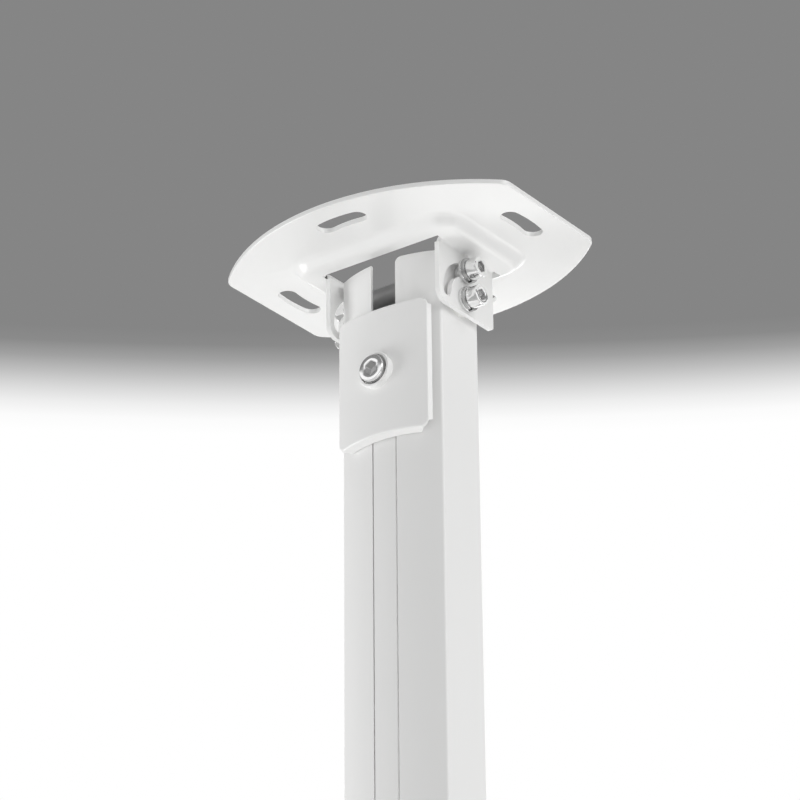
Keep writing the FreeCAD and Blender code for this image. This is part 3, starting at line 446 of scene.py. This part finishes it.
links.new(place.outputs["Object"], flow.inputs["Vector"])
links.new(flow.outputs["Fac"], flow_level.inputs["Value"])
links.new(moulded_in.outputs["Colour"], flowed.inputs["A"])
links.new(flow_level.outputs["Result"], flowed.inputs["B"])
links.new(flow.outputs["Fac"], matt.inputs[0])
links.new(moulded_in.outputs["Roughness"], matt.inputs[2])
links.new(flowed.outputs["Result"], moulded_out.inputs["Colour"])
links.new(matt.outputs[0], moulded_out.inputs["Roughness"])
links.new(grain_bump.outputs["Normal"], moulded_out.inputs["Normal"])

white_plastic = finish_from("white_moulding", moulded_group,
                            settings=[("Colour", (0.98, 0.98, 0.975, 1)), ("Roughness", 0.3)])
round_sheet("cover_spacer", "extension", white_plastic, "white_plastic", 0.0003)


# Socket screws: bright plated steel, headed, with a broached hex socket and a rolled thread on
# the last stretch of the shank. Nine have cap heads, and the cover's has a broad low head, down
# in its cup washer. The plating is mirror-like with faint turning marks, and the socket is painted
# darker as painted shade.
marks_height = 0.00003
bloom_scale = 260
bloom_darkest, bloom_lightest = 0.86, 1.1
bloom_matting = 0.08
# The socket is painted darker grey: a painted shade in the recess.
painted_socket_shade = (0.48, 0.48, 0.48, 1)
painted_shade_amount = 0.5
plated_group, plated_in, plated_out = effect_group(
    "bright_plating",
    [("Colour", "colour", (0.8, 0.8, 0.8, 1)), ("Roughness", "value", 0.14),
     ("Mark Scale", "value", 900), ("Mark Depth", "value", 0.1)],
    [("Colour", "colour"), ("Roughness", "value"), ("Normal", "vector")])
nodes, links = plated_group.nodes, plated_group.links
place = nodes.new("ShaderNodeTexCoord")
marks = nodes.new("ShaderNodeTexNoise")
marks.inputs["Detail"].default_value = 4
marks_bump = nodes.new("ShaderNodeBump")
marks_bump.inputs["Distance"].default_value = marks_height
bloom = nodes.new("ShaderNodeTexNoise")
bloom.inputs["Scale"].default_value = bloom_scale
bloom.inputs["Detail"].default_value = 3
bloom_level = nodes.new("ShaderNodeMapRange")
bloom_level.inputs["To Min"].default_value = bloom_darkest
bloom_level.inputs["To Max"].default_value = bloom_lightest
bloomed = nodes.new("ShaderNodeMix")
bloomed.data_type = "RGBA"
bloomed.blend_type = "MULTIPLY"
bloomed.inputs["Factor"].default_value = 1
# Painted shade: faces marked as the socket are mixed towards grey.
recess = nodes.new("ShaderNodeAttribute")
recess.attribute_name = "recess"
recess_share = nodes.new("ShaderNodeMath")
recess_share.operation = "MULTIPLY"
recess_share.inputs[1].default_value = painted_shade_amount
recessed = nodes.new("ShaderNodeMix")
recessed.data_type = "RGBA"
recessed.inputs["B"].default_value = painted_socket_shade
dull = nodes.new("ShaderNodeMath")
dull.operation = "MULTIPLY_ADD"
dull.inputs[1].default_value = bloom_matting
links.new(place.outputs["Object"], marks.inputs["Vector"])
links.new(plated_in.outputs["Mark Scale"], marks.inputs["Scale"])
links.new(marks.outputs["Fac"], marks_bump.inputs["Height"])
links.new(plated_in.outputs["Mark Depth"], marks_bump.inputs["Strength"])
links.new(place.outputs["Object"], bloom.inputs["Vector"])
links.new(bloom.outputs["Fac"], bloom_level.inputs["Value"])
links.new(plated_in.outputs["Colour"], bloomed.inputs["A"])
links.new(bloom_level.outputs["Result"], bloomed.inputs["B"])
links.new(bloom.outputs["Fac"], dull.inputs[0])
links.new(plated_in.outputs["Roughness"], dull.inputs[2])
links.new(recess.outputs["Fac"], recess_share.inputs[0])
links.new(recess_share.outputs[0], recessed.inputs["Factor"])
links.new(bloomed.outputs["Result"], recessed.inputs["A"])
links.new(recessed.outputs["Result"], plated_out.inputs["Colour"])
links.new(dull.outputs[0], plated_out.inputs["Roughness"])
links.new(marks_bump.outputs["Normal"], plated_out.inputs["Normal"])

screw_steel = finish_from("screw_bright_steel", plated_group, metallic=1,
                          settings=[("Colour", (0.95, 0.95, 0.95, 1)), ("Roughness", 0.04),
                                    ("Mark Depth", 0.05)])


def draw_ring(bm, ring, steps):
    """Draws a ring of edges on through (radius, height) steps."""
    for radius, height in steps:
        made = bmesh.ops.extrude_edge_only(bm, edges=ring)["geom"]
        new = [g for g in made if isinstance(g, bmesh.types.BMVert)]
        now = max(math.hypot(v.co.x, v.co.y) for v in new)
        bmesh.ops.scale(bm, verts=new, vec=(radius / now, radius / now, 1))
        for vertex in new:
            vertex.co.z = height
        ring = [g for g in made
                if isinstance(g, bmesh.types.BMEdge) and all(v in new for v in g.verts)]


def socket_screw(node, body, direction, shank, head, head_height, flats, depth, pitch, sunk=0):
    """A socket screw built on +Z with its seat at height 0, then laid where its solid is.

    The head's face is the solid's, or lower by what is sunk.
    """
    around = 48
    lip = 0.0006
    lip_shoulder = 0.3 * lip
    face_margin = lip + 0.0001
    socket_corner = flats / math.sqrt(3)
    socket_chamfer = 0.0003
    socket_dip = 0.0002
    foot_chamfer = 0.0003
    tip_chamfer = 0.0007
    thread_diameters = 4
    thread_depth = 0.62 * pitch
    thread_run_out = 0.3 * pitch
    thread_overlap = 0.1 * pitch
    crest_from, crest_to = 0.44 * pitch, 0.56 * pitch
    steps = 24
    merged_within = 0.000005
    cut_within = 0.0000001
    sharp = math.radians(40)

    low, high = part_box(node)
    axis = Vector(direction)
    lowest = min(low.dot(axis), high.dot(axis))
    highest = max(low.dot(axis), high.dot(axis)) - sunk
    seat = highest - head_height
    length = seat - lowest
    centre = (low + high) / 2
    middle = centre - axis * centre.dot(axis)

    bm = bmesh.new()
    dark = bm.verts.layers.float.new("recess")
    bmesh.ops.create_circle(bm, segments=6, radius=socket_corner)
    bmesh.ops.subdivide_edges(bm, edges=list(bm.edges), cuts=around // 6 - 1)
    socket_rim = list(bm.edges)
    for vertex in bm.verts:
        vertex.co.z = head_height - socket_dip
    made = bmesh.ops.extrude_edge_only(bm, edges=socket_rim)["geom"]
    floor_verts = [g for g in made if isinstance(g, bmesh.types.BMVert)]
    bmesh.ops.translate(bm, verts=floor_verts, vec=(0, 0, -depth))
    floor_rim = [e for e in bm.edges if all(v in floor_verts for v in e.verts)]
    bmesh.ops.contextual_create(bm, geom=floor_rim)
    # The socket's vertices are marked for the painted shade.
    for vertex in bm.verts:
        vertex[dark] = 1
    known = set(bm.edges)
    bmesh.ops.create_circle(bm, segments=around, radius=socket_corner + socket_chamfer,
                            matrix=Matrix.Translation((0, 0, head_height)))
    mouth_rim = [e for e in bm.edges if e not in known]
    bmesh.ops.bridge_loops(bm, edges=socket_rim + mouth_rim)
    draw_ring(bm, mouth_rim, [
        (head - face_margin, head_height),
        (head - lip_shoulder, head_height - lip_shoulder),
        (head, head_height - lip),
        (head, foot_chamfer),
        (head - foot_chamfer, 0),
        (shank, 0),
    ])

    threaded = min(length, thread_diameters * 2 * shank)
    plain = length - threaded
    root = shank - thread_depth
    known = set(bm.edges)
    bmesh.ops.create_circle(bm, segments=around, radius=shank)
    draw_ring(bm, [e for e in bm.edges if e not in known], [
        (shank, -plain), (root, -plain - thread_run_out)])

    known = set(bm.verts)
    start = -length - pitch
    points = [(root, start), (shank, start + crest_from), (shank, start + crest_to),
              (root, start + pitch)]
    profile = [bm.verts.new((radius, 0, height)) for radius, height in points]
    profile_edges = [bm.edges.new(pair) for pair in zip(profile, profile[1:])]
    turns = math.ceil(threaded / pitch) + 1
    bmesh.ops.spin(bm, geom=profile + profile_edges, cent=(0, 0, 0), axis=(0, 0, 1),
                   dvec=(0, 0, pitch / steps), angle=2 * math.pi * turns,
                   steps=steps * turns, use_merge=False)
    thread = [v for v in bm.verts if v not in known]
    bmesh.ops.remove_doubles(bm, verts=thread, dist=merged_within)
    for height, facing in ((-plain - thread_overlap, 1), (-length, -1)):
        thread = [v for v in bm.verts if v not in known]
        geometry = list(thread)
        geometry += dict.fromkeys(e for v in thread for e in v.link_edges)
        geometry += dict.fromkeys(f for v in thread for f in v.link_faces)
        cut = bmesh.ops.bisect_plane(bm, geom=geometry, plane_co=(0, 0, height),
                                     plane_no=(0, 0, facing), clear_outer=True,
                                     dist=cut_within)["geom_cut"]
    tip_rim = [g for g in cut if isinstance(g, bmesh.types.BMEdge)]
    bmesh.ops.holes_fill(bm, edges=tip_rim, sides=0)
    for vertex in bm.verts:
        reach = math.hypot(vertex.co.x, vertex.co.y)
        limit = shank - tip_chamfer + (vertex.co.z + length)
        if vertex not in known and reach > limit > 0:
            vertex.co.x *= limit / reach
            vertex.co.y *= limit / reach

    bmesh.ops.recalc_face_normals(bm, faces=bm.faces)
    turn = axis.to_track_quat("Z", "Y").to_matrix().to_4x4()
    bmesh.ops.transform(bm, verts=bm.verts,
                        matrix=Matrix.Translation(middle + axis * seat) @ turn)
    for face in bm.faces:
        face.smooth = True
    for e in bm.edges:
        e.smooth = len(e.link_faces) != 2 or e.calc_face_angle(0) < sharp
    screw = piece_from(bm, node + "_threaded", body, screw_steel, "screw_steel", node)
    even = screw.modifiers.new("even_normals", "WEIGHTED_NORMAL")
    even.keep_sharp = True


six_millimetre = dict(shank=0.003, head=0.005, head_height=0.006, flats=0.005, depth=0.0032,
                      pitch=0.001)
eight_millimetre = dict(shank=0.004, head=0.0065, head_height=0.008, flats=0.006, depth=0.004,
                        pitch=0.00125)
broad_low = dict(shank=0.003, head=0.0065, head_height=0.0025, flats=0.006, depth=0.0022,
                 pitch=0.001, sunk=0.0035)
for node, body in (("pivot_bolt", "ceiling_bracket"), ("lock_bolt", "pole"),
                   ("head_pivot_bolt", "extension"), ("head_lock_bolt", "extension")):
    socket_screw(node, body, (1, 0, 0), **six_millimetre)
socket_screw("cover_screw", "extension", (0, -1, 0), **broad_low)
socket_screw("swivel_screw", "head", (0, 0, -1), **eight_millimetre)
for number in (1, 2, 3, 4):
    socket_screw("arm_screw_%d" % number, "arm_%d_fixing" % number, (0, 0, -1),
                 **six_millimetre)


# Nuts: hexagon nuts and the nut plate behind the cover, of the same bright plated steel, a little
# duller than the screws. Each holds the end of its own screw.
nut_steel = finish_from("nut_bright_steel", plated_group, metallic=1,
                        settings=[("Colour", (0.78, 0.78, 0.78, 1)), ("Roughness", 0.12)])
nut_bodies = {"pivot_nut": "ceiling_bracket", "lock_nut": "pole",
              "head_pivot_nut": "extension", "head_lock_nut": "extension",
              "swivel_nut": "head", "clamp_nut_plate": "extension"}
for number in (1, 2, 3, 4):
    nut_bodies["arm_nut_%d" % number] = "arm_%d_fixing" % number
for node, body in nut_bodies.items():
    round_sheet(node, body, nut_steel, "nut_steel", 0.00012)


# Flat washers: stamped from steel strip and plated, with one edge rounded by the punch. They lie
# under the screws' heads and under the nuts.
washer_steel = finish_from("washer_plated_steel", plated_group, metallic=1,
                           settings=[("Colour", (0.76, 0.76, 0.76, 1)), ("Roughness", 0.16),
                                     ("Mark Scale", 1400), ("Mark Depth", 0.2)])
washer_bodies = {"pivot_washers": "ceiling_bracket", "lock_washers": "pole",
                 "head_pivot_washers": "extension", "head_lock_washers": "extension",
                 "swivel_washers": "head"}
for number in (1, 2, 3, 4):
    washer_bodies["arm_washer_%d" % number] = "arm_%d_fixing" % number
for node, body in washer_bodies.items():
    round_sheet(node, body, washer_steel, "washer_steel", 0.00025)


# Spring washers: split rings of square hardened wire, plated, and the darkest of the metal. Each
# lies under the head of its screw and keeps it tight.
spring_steel = finish_from("spring_plated_steel", plated_group, metallic=1,
                           settings=[("Colour", (0.5, 0.5, 0.5, 1)), ("Roughness", 0.22),
                                     ("Mark Scale", 1800), ("Mark Depth", 0.25)])
for node, body in (("pivot_spring_washer", "ceiling_bracket"), ("lock_spring_washer", "pole"),
                   ("cover_spring_washer", "extension"),
                   ("head_pivot_spring_washer", "extension"),
                   ("head_lock_spring_washer", "extension"),
                   ("swivel_spring_washer", "head")):
    round_sheet(node, body, spring_steel, "spring_steel", 0.0002)


# Spacer sleeves: drawn steel tube, cut to length and plated dull. They stand on the screws between
# the column's walls, so that tightening doesn't pull the walls in.
sleeve_steel = finish_from("sleeve_plated_steel", plated_group, metallic=1,
                           settings=[("Colour", (0.6, 0.6, 0.6, 1)), ("Roughness", 0.3),
                                     ("Mark Scale", 700), ("Mark Depth", 0.2)])
for node, body in (("column_spacer_sleeves", "pole"), ("head_spacer_sleeves", "extension")):
    round_sheet(node, body, sleeve_steel, "sleeve_steel", 0.0003)


# Friction washers and swivel disc: cut from natural plastic sheet, so that coated faces turn
# against them without scraping.
natural_plastic = finish_from("natural_plastic_sheet", moulded_group,
                              settings=[("Colour", (0.82, 0.82, 0.8, 1)), ("Roughness", 0.45),
                                        ("Grain Depth", 0.2)])
for node, body in (("pivot_friction_washers", "ceiling_bracket"),
                   ("head_friction_washers", "extension"), ("swivel_disc", "head")):
    round_sheet(node, body, natural_plastic, "disc_plastic", 0.0001)


# Head strap and head plate: strap bent up from flat bar and a sheared square plate, both
# powder coated like the rest.
head_coat = finish_from("head_powder_coat", coat_group,
                        settings=[("Colour", (0.945, 0.945, 0.94, 1)), ("Roughness", 0.28)],
                        constants=[("Coat Weight", 0.12), ("Coat Roughness", 0.25)])
round_sheet("head_strap", "head", head_coat, "head_paint", 0.0003)
round_sheet("head_plate", "head_plate", head_coat, "head_paint", 0.0003)


# Arms: stepped straps with a long slot, pressed from sheet steel and powder coated. One screw
# through the slot holds each of them under the head plate.
arm_coat = finish_from("arm_powder_coat", coat_group,
                       settings=[("Colour", (0.945, 0.945, 0.94, 1)), ("Roughness", 0.28)],
                       constants=[("Coat Weight", 0.12), ("Coat Roughness", 0.25)])
for number in (1, 2, 3, 4):
    round_sheet("arm_%d" % number, "arm_%d" % number, arm_coat, "arm_paint", 0.0003)
